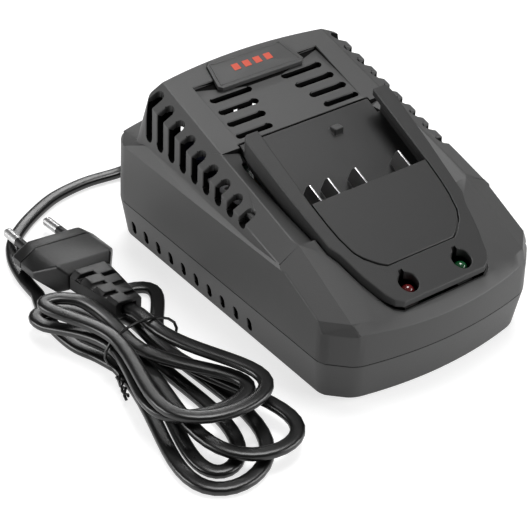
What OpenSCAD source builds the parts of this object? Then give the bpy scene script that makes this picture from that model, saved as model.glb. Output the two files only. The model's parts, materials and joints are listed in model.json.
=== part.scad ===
// Battery charger for a cordless power tool: vented two-part housing, slide-in dock, mains lead bundled for storage.
// Frame: X to the right seen from the indicator side, Y towards the mains lead, Z up, z = 0 under the rubber feet.
// The origin lies under the middle of the housing.

/* [Housing] */
// Width at the parting line, half way along
body_w = 97.6; // [90:0.2:108]
// Length from front to rear
body_l = 150.6; // [130:0.2:170]
// Radius of the bowed front and rear walls
arc_r = 160; // [120:1:220]
// Height of the parting line
part_z = 17.5; // [12:0.5:24]
// Underside of the lower shell
base_z = 1.5; // [1:0.1:4]
// How far the lower shell draws in at its bottom edge
tuck = 2.6; // [1:0.1:5]
// Top edge of the side walls, where the ledge starts
sill_z = 43; // [38:0.5:48]
// Wall thickness
wall = 2.4; // [1.8:0.1:3.2]
// Lean of the upper walls, mm per mm
draft = 0.024; // [0.005:0.001:0.06]

/* [Top] */
// Distance of the raised block's rear wall from the middle, at its foot
turret_y = 64; // [58:0.5:70]
// Lean of that rear wall in degrees
turret_lean = 20; // [10:1:30]
// Corner radius of the raised block
turret_r = 6; // [4:0.5:14]
// Slope of the deck, mm per mm
deck_k = 0.267; // [0.15:0.001:0.35]
// Slope of the front part
front_k = 0.456; // [0.35:0.001:0.6]
// Where deck and front slope meet, along Y
fold_y = -35.4; // [-45:0.1:-25]
// Height of that fold
fold_z = 48.6; // [44:0.1:54]

/* [Vents] */
// Side slots in each wall of the raised block
side_slots = 9; // [5:1:11]
// Width of a side slot
side_slot_w = 4; // [2.5:0.1:5]
// Slots in each side of the lower shell
foot_slots = 10; // [6:1:12]
// Slots in the rear wall
rear_slots = 10; // [4:2:12]

/* [Dock] */
// Slope of the slide-in rails, mm per mm
dock_k = 0.44; // [0.35:0.01:0.55]
// Rail top height at the contact wall
dock_z = 55.8; // [52:0.1:60]
// Contact wall, along Y
contact_y = -25.8; // [-30:0.1:-20]
// Rear end of the rails
rail_y = 6.2; // [0:0.1:12]
// Half width between the rails
rail_in = 26.7; // [24:0.1:29]
// Half width of the undercut below the rails
groove_in = 31.1; // [29:0.1:31.2]
// Thickness of the rail flanges
flange_t = 3; // [2:0.1:4]
// Thickness of a contact blade
blade_t = 0.7; // [0.5:0.1:1.2]

/* [Mains lead] */
// Width of the flat lead
cord_w = 5.4; // [4.6:0.1:6.4]
// Thickness of the flat lead
cord_t = 3.2; // [2.6:0.1:4]
// Diameter of a plug pin
pin_d = 4; // [3.8:0.1:4.8]
// Distance between the pins at the plug face
pin_pitch = 18.6; // [17:0.1:19]
// Length of a pin
pin_l = 19; // [17:0.5:19.5]

/* [Hidden] */
$fn = 64;
big = 200;
half_l = body_l / 2;
side_lean = 0.0085;
front_facet = 77.5;
rear_facet = 76.7;
blade_x = [-21.2, -12.9, -0.4, 19.9];
led_x = [-12.3, 12.3];
led_y = -63.6;
board_z = 12;
board_t = 1.6;
post_xy = [[-36, 56], [36, 56], [-36, -52], [36, -52]];

// colours
c_body = [0.33, 0.33, 0.34];
c_dark = [0.25, 0.25, 0.26];
c_black = [0.06, 0.06, 0.065];
c_metal = [0.78, 0.74, 0.66];
c_steel = [0.7, 0.7, 0.72];
c_board = [0.1, 0.3, 0.16];
c_copper = [0.72, 0.42, 0.2];
c_white = [0.85, 0.85, 0.84];

function deck_at(y) = fold_z + deck_k * (y - fold_y);
function slope_at(y) = fold_z + front_k * (y - fold_y);
function rail_at(y) = dock_z + dock_k * (y - contact_y);
function floor_at(y) = rail_at(y) - 11.2;

// everything on the far side of a plane through p with outward normal n, the plane moved inwards by d
module beyond(p, n, d = 0) {
    translate(p - n / norm(n) * d)
        rotate([0, acos(n[2] / norm(n)), atan2(n[1], n[0])])
            translate([-big, -big, 0])
                cube([2 * big, 2 * big, big]);
}

// one storey of the outer wall between two heights, each edge drawn in by its own amount
module storey(z0, z1, in0, in1) {
    h = z1 - z0;
    t = (in1 - in0) / h;
    difference() {
        intersection() {
            translate([0, arc_r - half_l, z0])
                cylinder(h = h, r1 = arc_r - in0, r2 = arc_r - in1, $fn = 128);
            translate([0, half_l - arc_r, z0])
                cylinder(h = h, r1 = arc_r - in0, r2 = arc_r - in1, $fn = 128);
        }
        for (s = [-1, 1]) {
            beyond([s * (body_w / 2 - in0), 0, z0], [s, -side_lean, t]);
            beyond([s * 0.7071 * (front_facet - in0), -0.7071 * (front_facet - in0), z0], [s * 0.7071, -0.7071, t]);
            beyond([s * 0.817 * (rear_facet - in0), 0.577 * (rear_facet - in0), z0], [s * 0.817, 0.577, t]);
        }
    }
}

module turret_plan(d) {
    r = turret_r - d;
    cx = 45.9 - turret_r;
    cy = -3.4 - turret_r;
    intersection() {
        translate([0, -230])
            circle(r = 230 - d, $fn = 128);
        union() {
            polygon([[-45.9 + d, cy], [-cx, cy + r], [cx, cy + r], [45.9 - d, cy], [50 - d, -150], [-50 + d, -150]]);
            translate([-cx, cy])
                square([2 * cx, r + 8]);
            for (s = [-1, 1])
                translate([s * cx, cy])
                    circle(r = r);
        }
    }
}

// the raised block that carries the deck
module turret(d) {
    intersection() {
        translate([0, turret_y, 45])
            rotate([turret_lean, 0, 0])
                translate([0, 0, -8])
                    linear_extrude(60)
                        turret_plan(d);
        storey(part_z, 90, d, d + draft * 72);
    }
}

// the housing's outside, moved inwards by d
module hull_solid(d) {
    dt = d > 0 ? d + 0.7 : 0;
    difference() {
        union() {
            storey(part_z, sill_z - d * 0.4, d, d + draft * 25.5);
            difference() {
                intersection() {
                    storey(sill_z - d * 0.4, 57, d, d + draft * 14);
                    translate([0, half_l - arc_r, sill_z - d])
                        cylinder(h = 20, r1 = arc_r + 0.4 - d, r2 = arc_r - 79.6 - d, $fn = 128);
                }
                for (s = [-1, 1]) {
                    beyond([s * 49.1, 60, sill_z], [s * 1.471, -0.0055, 1], d);
                    beyond([s * 46.5, 64.5, sill_z], [s * 0.45, 0.3, 1], d);
                }
            }
            turret(d);
        }
        beyond([0, fold_y, fold_z], [0, -deck_k, 1], dt);
        beyond([0, fold_y, fold_z], [0, -front_k, 1], dt);
        for (s = [-1, 1]) {
            beyond([0, 0, 77.05], [s * 0.49, -0.254, 1], d);
            beyond([0, 0, 81.35], [s * 0.436, -0.445, 1], d);
            beyond([s * 43.65, -63.1, 34.1], [s * 0.652, -0.652, 0.387], d);
        }
        // bevel along the front edge
        translate([0, -71.8, 32])
            rotate([24.5, 0, 0])
                difference() {
                    translate([-70, -24, -14])
                        cube([140, 40, 34]);
                    translate([0, 144, -16])
                        cylinder(h = 38, r1 = 144 - d + 42.7, r2 = 144 - d - 58.8, $fn = 128);
                }
    }
}

// a slot with round ends through a wall, long way up
module upright_slot(w, z0, z1, depth) {
    translate([-depth / 2, -w / 2, z0 + w / 2])
        cube([depth, w, z1 - z0 - w]);
    for (z = [z0 + w / 2, z1 - w / 2])
        translate([-depth / 2, 0, z])
            rotate([0, 90, 0])
                cylinder(h = depth, r = w / 2, $fn = 32);
}

module side_slot_cut(s, y, k) {
    xe = 41.5 + 2.4 * min(1, k / 4) + 0.1 * max(0, k - 4);
    zb = 50.4 - 0.42 * k;
    r = side_slot_w / 2;
    translate([s > 0 ? xe : -60, y - r, zb + r])
        cube([60 - xe, side_slot_w, 40]);
    translate([s * xe, y, zb + 2 * r])
        cylinder(h = 40, r = r, $fn = 32);
    translate([s > 0 ? xe : -60, y, zb + r])
        rotate([0, 90, 0])
            cylinder(h = 60 - xe, r = r, $fn = 32);
}

module deck_slot_cut(s, y, x0, x1) {
    for (x = [x0 + 1.3, x1 - 1.3])
        translate([s * x, y, 50])
            cylinder(h = 40, r = 1.3, $fn = 32);
    translate([s > 0 ? x0 + 1.3 : -x1 + 1.3, y - 1.3, 50])
        cube([x1 - x0 - 2.6, 2.6, 40]);
}

// outline of the dock moulding seen from above, grown by g
module cradle_plan(g) {
    polygon([for (s = [1, -1]) for (p = (s > 0 ? cradle_half : cradle_back)) [s * (p[0] + g), p[1] + (p[1] > 0 ? g : (p[1] < -66 ? -g : 0))]]);
}
cradle_half = [[18.5, -69.5], [21.4, -67.8], [23.4, -64.6], [26.7, -55.6], [29.1, -46], [31, -42], [32.6, -20], [33.6, 3], [33.2, 5.2], [32, 6.2]];
cradle_back = [for (i = [len(cradle_half) - 1:-1:0]) cradle_half[i]];

module upper_housing() {
    color(c_body)
        difference() {
            hull_solid(0);
            difference() {
                union() {
                    hull_solid(wall);
                    storey(part_z - 2, part_z + 1, wall, wall);
                }
                // posts for the housing screws
                for (p = post_xy)
                    translate([p[0], p[1], 12])
                        cylinder(h = 70, r = 4.2, $fn = 32);
            }
            // screw holes in the posts
            for (p = post_xy)
                translate([p[0], p[1], 10])
                    cylinder(h = 18, r = 1.3, $fn = 24);
            // side vents
            for (s = [-1, 1])
                for (k = [0:side_slots - 1])
                    side_slot_cut(s, 47.4 - 7.65 * k, k);
            // rear vents
            for (i = [0:rear_slots - 1])
                translate([(i - (rear_slots - 1) / 2) * 8.7, 72, 0])
                    rotate([0, 0, 90])
                        upright_slot(3, 25, 39, 20);
            // shallow recess in the deck
            intersection() {
                translate([-28.6, 12, 50])
                    cube([57.6, 32, 30]);
                beyond([0, 13, deck_at(13)], [0, 1.7 / 31 - deck_k, 1]);
            }
            // seat of the name plate
            intersection() {
                translate([0, 0, 50])
                    linear_extrude(30)
                        plate_plan(0.15);
                beyond([0, 0, deck_at(0) - 0.9], [0, -deck_k, 1]);
            }
            // deck vents
            for (k = [0:3])
                for (s = [-1, 1])
                    deck_slot_cut(s, 36.4 - 6.65 * k, 7.1 + 1.7 * k, 26 + 0.8 * k);
            // troughs beside the rails
            for (s = [-1, 1])
                intersection() {
                    translate([s > 0 ? 28 : -39.6, fold_y, 40])
                        cube([11.6, 11.5 - fold_y, 40]);
                    beyond([s * 38.9, 0, deck_at(0)], [-s * 0.28, -deck_k, 1]);
                }
            // window for the dock moulding
            translate([0, 0, 20])
                linear_extrude(70)
                    cradle_plan(0.35);
            translate([-30.35, 0, 40])
                cube([60.7, 12.95, 40]);
        }
}

module lower_shell() {
    color(c_body)
        difference() {
            union() {
                difference() {
                    storey(base_z, part_z, tuck, 0);
                    difference() {
                        storey(base_z + wall, part_z + 1, tuck + wall - 0.4, wall);
                        // screw posts and board posts
                        for (p = post_xy)
                            translate([p[0], p[1], 0])
                                cylinder(h = 12, r = 5.6, $fn = 32);
                        for (p = board_xy)
                            translate([p[0], p[1], 0])
                                cylinder(h = board_z, r = 3, $fn = 32);
                    }
                }
                // tongue that locates the upper housing
                difference() {
                    storey(part_z - 2, part_z + 1.8, wall + 0.1, wall + 0.1);
                    storey(part_z - 3, part_z + 3, wall + 1.3, wall + 1.3);
                }
            }
            // side vents
            for (s = [-1, 1])
                for (k = [0:foot_slots - 1])
                    translate([s * 47, 56.2 - 8.34 * k, 0])
                        upright_slot(2.4, 2.2 + 1.9, 10, 12);
            // vents in the underside
            for (s = [-1, 1])
                for (k = [0:6])
                    translate([s > 0 ? 8 : -28, -22 + 8 * k, 0])
                        cube([20, 3, 6]);
            // screw wells
            for (p = post_xy) {
                translate([p[0], p[1], 0])
                    cylinder(h = 8, r = 3.8, $fn = 32);
                translate([p[0], p[1], 0])
                    cylinder(h = 20, r = 1.8, $fn = 24);
            }
            // pockets for the feet
            for (p = foot_xy)
                translate([p[0], p[1], 0])
                    cylinder(h = 2.1, r = 6.1, $fn = 32);
            // keyholes for hanging on a wall
            for (x = [-30, 30]) {
                translate([x, 3, 0])
                    cylinder(h = 6, r = 4, $fn = 32);
                translate([x - 2.1, 3, 0])
                    cube([4.2, 9, 6]);
                translate([x, 12, 0])
                    cylinder(h = 6, r = 2.1, $fn = 24);
            }
            // cord entry
            translate([cord_x, 60, 9.5])
                rotate([-90, 0, 0])
                    cylinder(h = 30, r = 4.6, $fn = 32);
        }
}
board_xy = [[-30, 50], [30, 50], [-30, -44], [30, -44]];
foot_xy = [[-37, 44], [37, 44], [-37, -40], [37, -40]];
cord_x = -6;

module dock_cradle() {
    color(c_dark)
        difference() {
            union() {
                // walls standing through the window
                difference() {
                    translate([0, 0, 20])
                        linear_extrude(60)
                            cradle_plan(0);
                    beyond([0, fold_y, fold_z - 5.4], [0, deck_k, -1]);
                    beyond([0, fold_y, fold_z - 5.4], [0, front_k, -1]);
                }
                // floor below the bay
                difference() {
                    translate([-31.3, contact_y - 2.4, 30])
                        cube([62.6, rail_y - contact_y + 2.4, 40]);
                    beyond([0, 0, floor_at(0) - 2.4], [0, dock_k, -1]);
                }
                // tongue of the floor running out flush with the deck
                difference() {
                    translate([-30, 0, 40])
                        cube([60, 12.6, 40]);
                    beyond([0, 0, floor_at(0)], [0, -dock_k, 1]);
                    beyond([0, 0, deck_at(0)], [0, -deck_k, 1]);
                    beyond([0, 0, floor_at(0) - 2.4], [0, dock_k, -1]);
                }
                // lip under the housing's skin
                difference() {
                    translate([0, 0, 20])
                        linear_extrude(60)
                            cradle_plan(2);
                    beyond([0, fold_y, fold_z - 3.3], [0, -deck_k, 1]);
                    beyond([0, fold_y, fold_z - 3.3], [0, -front_k, 1]);
                    beyond([0, fold_y, fold_z - 5.4], [0, deck_k, -1]);
                    beyond([0, fold_y, fold_z - 5.4], [0, front_k, -1]);
                    translate([-50, -100, 0])
                        cube([100, 31.8, 70]);
                }
            }
            beyond([0, contact_y, dock_z], [0, -dock_k, 1]);
            // bay between the rails
            difference() {
                translate([-rail_in, contact_y, 30])
                    cube([2 * rail_in, 60, 60]);
                beyond([0, 0, floor_at(0)], [0, dock_k, -1]);
            }
            // undercuts
            difference() {
                translate([-groove_in, contact_y, 30])
                    cube([2 * groove_in, 60, 60]);
                beyond([0, 0, floor_at(0)], [0, dock_k, -1]);
                beyond([0, contact_y, dock_z - flange_t], [0, -dock_k, 1]);
            }
            // underside of the bay
            difference() {
                translate([-29, contact_y, 20])
                    cube([58, 29, 40]);
                beyond([0, 0, floor_at(0) - 2.4], [0, -dock_k, 1]);
            }
            // hollow below the apron
            difference() {
                translate([0, 0, 10])
                    linear_extrude(60)
                        difference() {
                            cradle_plan(-2.4);
                            translate([-50, contact_y - 2.4])
                                square([100, 60]);
                        }
                beyond([0, contact_y, dock_z - 3.2], [0, -dock_k, 1]);
            }
            // seat and opening for the contact cover
            intersection() {
                translate([0, 0, 30])
                    linear_extrude(40)
                        cover_plan(0.4);
                beyond([0, contact_y, dock_z - 2], [0, -dock_k, 1]);
            }
            // passages for the blades
            for (x = blade_x)
                translate([x - 0.7, contact_y - 6, 40])
                    cube([1.4, 8, 20]);
            // indicator windows
            for (x = led_x) {
                translate([x, led_y, 20])
                    cylinder(h = 40, r = 3.8, $fn = 40);
                translate([x - 1, led_y + 2, 20])
                    cube([2, 3, 40]);
            }
        }
    // catch bump on the floor
    color(c_dark)
        difference() {
            translate([7, 3, floor_at(0) - 1])
                cube([4, 3.5, 7]);
            beyond([0, 3, floor_at(3) + 3], [0, 0.1, 1]);
        }
}

module cover_plan(g) {
    polygon([for (s = [1, -1]) for (p = (s > 0 ? cover_half : cover_back)) [s * (p[0] + g), p[1] - (p[1] < -50 ? g : 0)]]);
}
cover_half = [[15.1, -55.5], [17.9, -53.8], [21.8, -50.1], [23.8, -47.2], [24.8, -42.6], [25.2, -41.3], [25.9, -35], [26.3, -25.8]];
cover_back = [for (i = [len(cover_half) - 1:-1:0]) cover_half[i]];

module contact_cover() {
    color(c_dark)
        difference() {
            intersection() {
                translate([0, 0, 30])
                    linear_extrude(40)
                        cover_plan(0);
                beyond([0, contact_y, dock_z - 2], [0, -dock_k, 1]);
            }
            beyond([0, contact_y, dock_z], [0, -dock_k, 1]);
            for (x = blade_x)
                translate([x - 0.7, contact_y - 6, dock_z - 9.2])
                    cube([1.4, 8, 8]);
        }
}

module plate_plan(g) {
    polygon([[-20 - g, 40], [-18.6 - g, 38.6 - g], [18.6 + g, 38.6 - g], [20 + g, 40], [17.6 + g, 50.6], [16 + g, 51.9 + g], [-16 - g, 51.9 + g], [-17.6 - g, 50.6]]);
}

module name_plate() {
    color([0.35, 0.35, 0.36])
        difference() {
            translate([0, 0, 50])
                linear_extrude(30)
                    plate_plan(0);
            beyond([0, 0, deck_at(0) - 0.9], [0, deck_k, -1]);
            beyond([0, 0, deck_at(0) + 0.7], [0, -deck_k, 1]);
        }
    // charge scale: a row of bars standing on the plate
    color([0.85, 0.3, 0.14])
        for (i = [0:3])
            translate([-9 + 5 * i, 44.4, deck_at(44.4) + 0.6])
                rotate([atan(deck_k), 0, 0])
                    cube([3, 3.2, 0.25]);
}

module contact_blades() {
    color(c_metal)
        for (x = blade_x)
            translate([x - blade_t / 2, 0, 0])
                rotate([90, 0, 90])
                    linear_extrude(blade_t)
                        polygon([[-42, 38], [-29.5, 38], [-29.5, floor_at(-29.5) + 1], [contact_y, floor_at(contact_y) + 0.8], [-14.4, floor_at(-14.4) + 0.9], [-16.6, 56.2], [-18, 57.6], [contact_y, rail_at(contact_y) - 1.2], [-29.5, rail_at(-29.5) - 2.4], [-42, rail_at(-42) - 4]]);
}

module terminal_block() {
    color(c_black)
        difference() {
            union() {
                translate([-24.5, -44, board_z + board_t])
                    cube([49, 14.2, 26]);
                translate([-18, -60, board_z + board_t])
                    cube([10, 8, 9]);
            }
            for (x = blade_x)
                translate([x - blade_t / 2, -43, 37.9])
                    cube([blade_t, 16, 12]);
        }
}

module led(x, c) {
    color(c) {
        translate([x, led_y, 31])
            cylinder(h = 4, r = 2.5, $fn = 32);
        translate([x, led_y, 31])
            cylinder(h = 1, r = 2.9, $fn = 32);
        translate([x, led_y, 35])
            sphere(r = 2.5, $fn = 32);
    }
}

module led_red() {
    led(led_x[0], [0.75, 0.08, 0.06]);
}

module led_green() {
    led(led_x[1], [0.1, 0.65, 0.2]);
}

module led_holders() {
    color(c_black)
        for (x = led_x) {
            translate([x - 3.5, led_y - 3.5, board_z + board_t])
                cube([7, 7, 31 - board_z - board_t]);
        }
}

module main_board() {
    color(c_board)
        difference() {
            translate([-41, -68, board_z])
                cube([82, 128, board_t]);
            for (s = [-1, 1]) {
                translate([s > 0 ? 28 : -42, -69, board_z - 1])
                    cube([14, 22.5, 4]);
                translate([s > 0 ? 29.5 : -42, 49, board_z - 1])
                    cube([12.5, 12, 4]);
            }
            translate([-14, 52, board_z - 1])
                cube([16, 10, 4]);
        }
}

module transformer_core() {
    color([0.2, 0.2, 0.21])
        difference() {
            translate([-4, -2, board_z + board_t])
                cube([34, 30, 28]);
            translate([-5, 3, board_z + board_t + 6])
                cube([36, 6, 16]);
            translate([-5, 17, board_z + board_t + 6])
                cube([36, 6, 16]);
        }
}

module transformer_winding() {
    color(c_copper)
        difference() {
            union() {
                translate([-7, 3.2, board_z + board_t + 6.2])
                    cube([40, 5.6, 15.6]);
                translate([-7, 17.2, board_z + board_t + 6.2])
                    cube([40, 5.6, 15.6]);
                for (x = [-7, 30.1])
                    translate([x, 3.2, board_z + board_t + 6.2])
                        cube([2.9, 19.6, 15.6]);
            }
        }
}

module mains_capacitor() {
    color([0.16, 0.18, 0.3]) {
        translate([-26, 40, board_z + board_t])
            cylinder(h = 30, r = 9, $fn = 48);
    }
    color(c_steel)
        translate([-26, 40, board_z + board_t + 30])
            cylinder(h = 0.5, r = 8, $fn = 48);
}

module output_capacitors() {
    for (p = [[16, -14], [27, -14], [27, -25]]) {
        color([0.12, 0.12, 0.13])
            translate([p[0], p[1], board_z + board_t])
                cylinder(h = 18, r = 4.8, $fn = 40);
        color(c_steel)
            translate([p[0], p[1], board_z + board_t + 18])
                cylinder(h = 0.4, r = 4.2, $fn = 40);
    }
}

module heat_sink() {
    color(c_steel) {
        translate([-34, -20, board_z + board_t])
            cube([2.5, 48, 26]);
        for (k = [0:7])
            translate([-31.5, -20 + 6.6 * k, board_z + board_t])
                cube([8, 1.8, 26]);
    }
}

module power_transistor() {
    color(c_black)
        translate([-38.6, 0, board_z + board_t + 8])
            cube([4.6, 10, 15]);
    color(c_steel)
        for (k = [0:2])
            translate([-36.8, 1.8 + 2.5 * k, board_z + board_t])
                cube([0.8, 1, 8]);
}

module line_choke() {
    color([0.8, 0.6, 0.15])
        difference() {
            translate([12, 42, board_z + board_t])
                cylinder(h = 12, r = 10, $fn = 48);
            translate([12, 42, board_z + board_t - 1])
                cylinder(h = 14, r = 4.4, $fn = 32);
        }
}

module fuse() {
    color(c_white)
        translate([-11, 34, board_z + board_t + 3])
            rotate([0, 90, 0])
                cylinder(h = 12, r = 2.4, $fn = 32);
    color(c_steel)
        for (x = [-13, 1])
            translate([x, 31.4, board_z + board_t])
                cube([2, 5.2, 6]);
}

module bridge_rectifier() {
    color(c_black)
        translate([27, 36, board_z + board_t])
            cube([5, 12, 14]);
}

module control_chip() {
    color(c_black)
        translate([-20, -20, board_z + board_t])
            cube([10, 7, 2.4]);
    color(c_steel)
        for (s = [0, 1])
            for (k = [0:4])
                translate([-19 + 2 * k, s > 0 ? -13 : -20.8, board_z + board_t])
                    cube([0.9, 0.8, 1.2]);
}

module mains_leads() {
    for (s = [-1, 1])
        color(s < 0 ? [0.45, 0.25, 0.12] : [0.15, 0.3, 0.6]) {
            translate([cord_x + s * 1.4, 44, 9.5])
                rotate([-90, 0, 0])
                    cylinder(h = 14.8, r = 1, $fn = 16);
            translate([cord_x + s * 1.4, 45, 8.5])
                cylinder(h = board_z - 8.5, r = 0.9, $fn = 16);
        }
}

module cord_clamp() {
    color(c_black)
        difference() {
            translate([cord_x - 9, 59.4, base_z + wall])
                cube([18, 5, 12.4]);
            translate([cord_x - 2.85, 58, 9.5 - 1.7])
                cube([5.7, 8, 3.4]);
        }
    color(c_steel)
        for (s = [-1, 1])
            translate([cord_x + s * 6.2, 61.9, base_z + wall + 12.4])
                cylinder(h = 1.6, r = 1.9, $fn = 24);
}

module housing_screws() {
    color(c_steel)
        for (p = post_xy) {
            translate([p[0], p[1], 5.6])
                difference() {
                    cylinder(h = 2.4, r = 3.3, $fn = 32);
                    translate([-2, -0.4, -1])
                        cube([4, 0.8, 2.2]);
                    translate([-0.4, -2, -1])
                        cube([0.8, 4, 2.2]);
                }
            translate([p[0], p[1], 8])
                cylinder(h = 16, r = 1.4, $fn = 24);
        }
}

module rubber_feet() {
    color(c_black)
        for (p = foot_xy)
            translate([p[0], p[1], 0]) {
                cylinder(h = 0.5, r1 = 5.5, r2 = 6, $fn = 32);
                translate([0, 0, 0.5])
                    cylinder(h = 1.6, r = 6, $fn = 32);
            }
}

// ---- flat tubes swept along a route ----
function unit(v) = v / norm(v);
function spline(p, i, t) =
    let (a = p[max(0, i - 1)], b = p[i], c = p[i + 1], d = p[min(len(p) - 1, i + 2)])
    0.5 * ((2 * b) + (c - a) * t + (2 * a - 5 * b + 4 * c - d) * t * t + (3 * b - a - 3 * c + d) * t * t * t);
function smooth_path(p, n) = concat([for (i = [0:len(p) - 2]) for (k = [0:n - 1]) spline(p, i, k / n)], [p[len(p) - 1]]);
function tangent(p, i) = unit(p[min(len(p) - 1, i + 1)] - p[max(0, i - 1)]);
function side_of(t) = unit(cross([0, 0, 1], t));
function ring(c, t, w, h, m) = [for (k = [0:m - 1]) c + side_of(t) * w / 2 * cos(360 * (k + 0.5) / m) + cross(t, side_of(t)) * h / 2 * sin(360 * (k + 0.5) / m)];
function tube_faces(n, m) = concat(
    [[for (k = [0:m - 1]) k]],
    [for (i = [0:n - 2]) for (k = [0:m - 1]) [i * m + k, (i + 1) * m + k, (i + 1) * m + (k + 1) % m, i * m + (k + 1) % m]],
    [[for (k = [m - 1:-1:0]) (n - 1) * m + k]]);

module flat_tube(path, sizes, m) {
    n = len(path);
    pts = [for (i = [0:n - 1]) each ring(path[i], tangent(path, i), sizes[i][0], sizes[i][1], m)];
    polyhedron(points = pts, faces = tube_faces(n, m));
}

boot_route = [[cord_x, 71.4, 9.5], [cord_x, 76, 9.5], [-6.6, 81, 9.2], [-9, 86.4, 8.2], [-13.4, 91, 6.6]];
boot_path = smooth_path(boot_route, 4);
run_route = [[-13.4, 91, 6.6], [-17.8, 94.6, 5.2], [-22.6, 97.4, 3.6], [-28.8, 99.4, 2.1], [-42.2, 101, 1.8], [-56.9, 99, 1.8], [-68.2, 94.3, 1.8], [-79.4, 87.6, 1.8], [-88, 80, 1.8], [-93.5, 70, 1.8], [-96.4, 58, 1.8], [-97.4, 46, 1.8]];
run_path = smooth_path(run_route, 5);

module cord_boot() {
    color(c_black) {
        flat_tube(boot_path, [for (i = [0:len(boot_path) - 1]) [9.4 - 0.19 * i, 8.6 - 0.3 * i]], 10);
        translate([cord_x, 70.2, 9.5])
            rotate([-90, 0, 0])
                cylinder(h = 2.4, r = 6, $fn = 32);
    }
}

module cord_run() {
    color(c_black) {
        flat_tube(run_path, [for (i = [0:len(run_path) - 1]) [cord_w, cord_t]], 8);
        translate([cord_x - 2.7, 59, 9.5 - 1.6])
            cube([5.4, 11, 3.2]);
    }
}

plug_at = [-80.3, 64.1, 6.9];
plug_pitch = 4;
plug_roll = 5;
plug_yaw = 0;

// places things made with the pins along +Y where the plug lies
module at_plug() {
    translate(plug_at)
        rotate([-plug_pitch, plug_roll, plug_yaw])
            children();
}

module plug_pins() {
    color(c_metal)
        at_plug()
            for (s = [-1, 1])
                translate([s * pin_pitch / 2, 0, 0])
                    rotate([-90, 0, s * 1.6]) {
                        translate([0, 0, -4])
                            cylinder(h = 13.2, r = pin_d / 2 - 0.4, $fn = 32);
                        translate([0, 0, 9.1])
                            cylinder(h = pin_l - 10.6, r = pin_d / 2, $fn = 32);
                        translate([0, 0, pin_l - 1.5])
                            cylinder(h = 1.5, r1 = pin_d / 2, r2 = pin_d / 2 - 1, $fn = 32);
                    }
}

module pin_sleeves() {
    color(c_black)
        at_plug()
            for (s = [-1, 1])
                translate([s * pin_pitch / 2, 0, 0])
                    rotate([-90, 0, s * 1.6])
                        difference() {
                            cylinder(h = 9, r = pin_d / 2 - 0.05, $fn = 32);
                            translate([0, 0, -1])
                                cylinder(h = 11, r = pin_d / 2 - 0.38, $fn = 32);
                        }
}

// cross-section of the plug: flat top and bottom, six-sided ends
module plug_section(w, h) {
    polygon([[-w / 2, -1.2], [-w / 2 + 6.4, -h / 2], [w / 2 - 6.4, -h / 2], [w / 2, -1.2], [w / 2, 1.2], [w / 2 - 6.4, h / 2], [-w / 2 + 6.4, h / 2], [-w / 2, 1.2]]);
}

module plug_body() {
    color(c_black)
        at_plug()
            difference() {
                rotate([90, 0, 0]) {
                    hull() {
                        linear_extrude(0.1)
                            plug_section(32.9, 9.4);
                        translate([0, 0, 1.4])
                            linear_extrude(5.2)
                                plug_section(35.3, 11.6);
                    }
                    translate([0, 0, 6])
                        linear_extrude(1.8)
                            plug_section(33.6, 10.2);
                    difference() {
                        translate([0, 0, 7.4])
                            linear_extrude(20)
                                plug_section(35.3, 11.6);
                        for (s = [-1, 1]) {
                            beyond([s * 17.7, 0, 16], [s, 0, 0.75]);
                            beyond([0, s * 5.85, 23], [0, s, 0.6]);
                        }
                    }
                }
                for (s = [-1, 1])
                    translate([s * pin_pitch / 2, 0, 0])
                        rotate([-90, 0, s * 1.6])
                            translate([0, 0, -4.2])
                                cylinder(h = 6, r = pin_d / 2 - 0.4, $fn = 32);
            }
}

// tapered bend protector with grip slots
module plug_relief() {
    color(c_black)
        at_plug()
            rotate([90, 0, 0])
                difference() {
                    translate([-9, -4.9, 27.4])
                        cube([18, 9.8, 26.6]);
                    for (s = [-1, 1]) {
                        beyond([s * 8.8, 0, 27.4], [s, 0, 0.12]);
                        beyond([0, s * 4.9, 27.4], [0, s, 0.05]);
                        for (t = [-1, 1])
                            beyond([s * 6.6, t * 4.9, 27.4], [s, t, 0.13]);
                    }
                    for (k = [0:2])
                        for (s = [-1, 1]) {
                            translate([s > 0 ? 0.8 : -9.8, 2.7, 31.2 + 7.4 * k + (s > 0 ? 3 : 0)])
                                cube([9, 4, 2.2]);
                            translate([s > 0 ? 0.8 : -9.8, -6.7, 31.2 + 7.4 * k + (s > 0 ? 3 : 0)])
                                cube([9, 4, 2.2]);
                        }
                    translate([-2.9, -1.8, 49])
                        cube([5.8, 3.6, 8]);
                }
}

// the lead where it is folded up for storage: passes through the tie, and the petals between them
waist = [-86.5, -7];
layer = [1.8, 6.2, 10.5, 14.6];
passes = [[-9.5, 0], [10.6, 0], [-3.2, 0], [2.8, 0], [6.4, 1], [-3.5, 1], [-10.4, 2], [-3.8, 2], [-10, 3], [5, 3]];
// reach, width, lean, layer and turn of each petal
petals = [
    [-74.3, 20.2, -9.2, 0, -1], [37.7, 26.3, 7.5, 0, 1], [-66, 13.6, -8.8, 0, -1], [29.5, 8.6, -4, 0, -1], [-71.6, 23, 8, 1, 1],
    [38, 10, -11, 1, 1], [-48, 27, 11, 2, -1], [33, 7, -11, 3, 1], [-55, 26, 7.5, 3, -1]];
petal_rings = 16;
function ease(v) = v * v * (3 - 2 * v);
function petal_point(a, b, q, v) =
    let (s = sin(180 * v), e = ease(v), w = min(1, 1.6 * s * s))
    [waist[0] + a[0] * (1 - e) + b[0] * e + q[4] * q[1] * 0.65 * sin(360 * v) * pow(s, 0.8) + q[2] * s * s,
     waist[1] + q[0] * s,
     (layer[a[1]] * (1 - e) + layer[b[1]] * e) * (1 - w) + layer[q[3]] * w];
petal_path = [for (k = [0:8]) for (i = [0:petal_rings - 1]) petal_point(passes[k], passes[k + 1], petals[k], i / petal_rings)];
lead_in = smooth_path([[-97.4, 46, 1.8], [-100.8, 36, 1.8], [-102.6, 25, 1.8], [-102, 12, 1.8], [-98.4, 2, 1.8], [-96, -7, 1.8]], 4);
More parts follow.
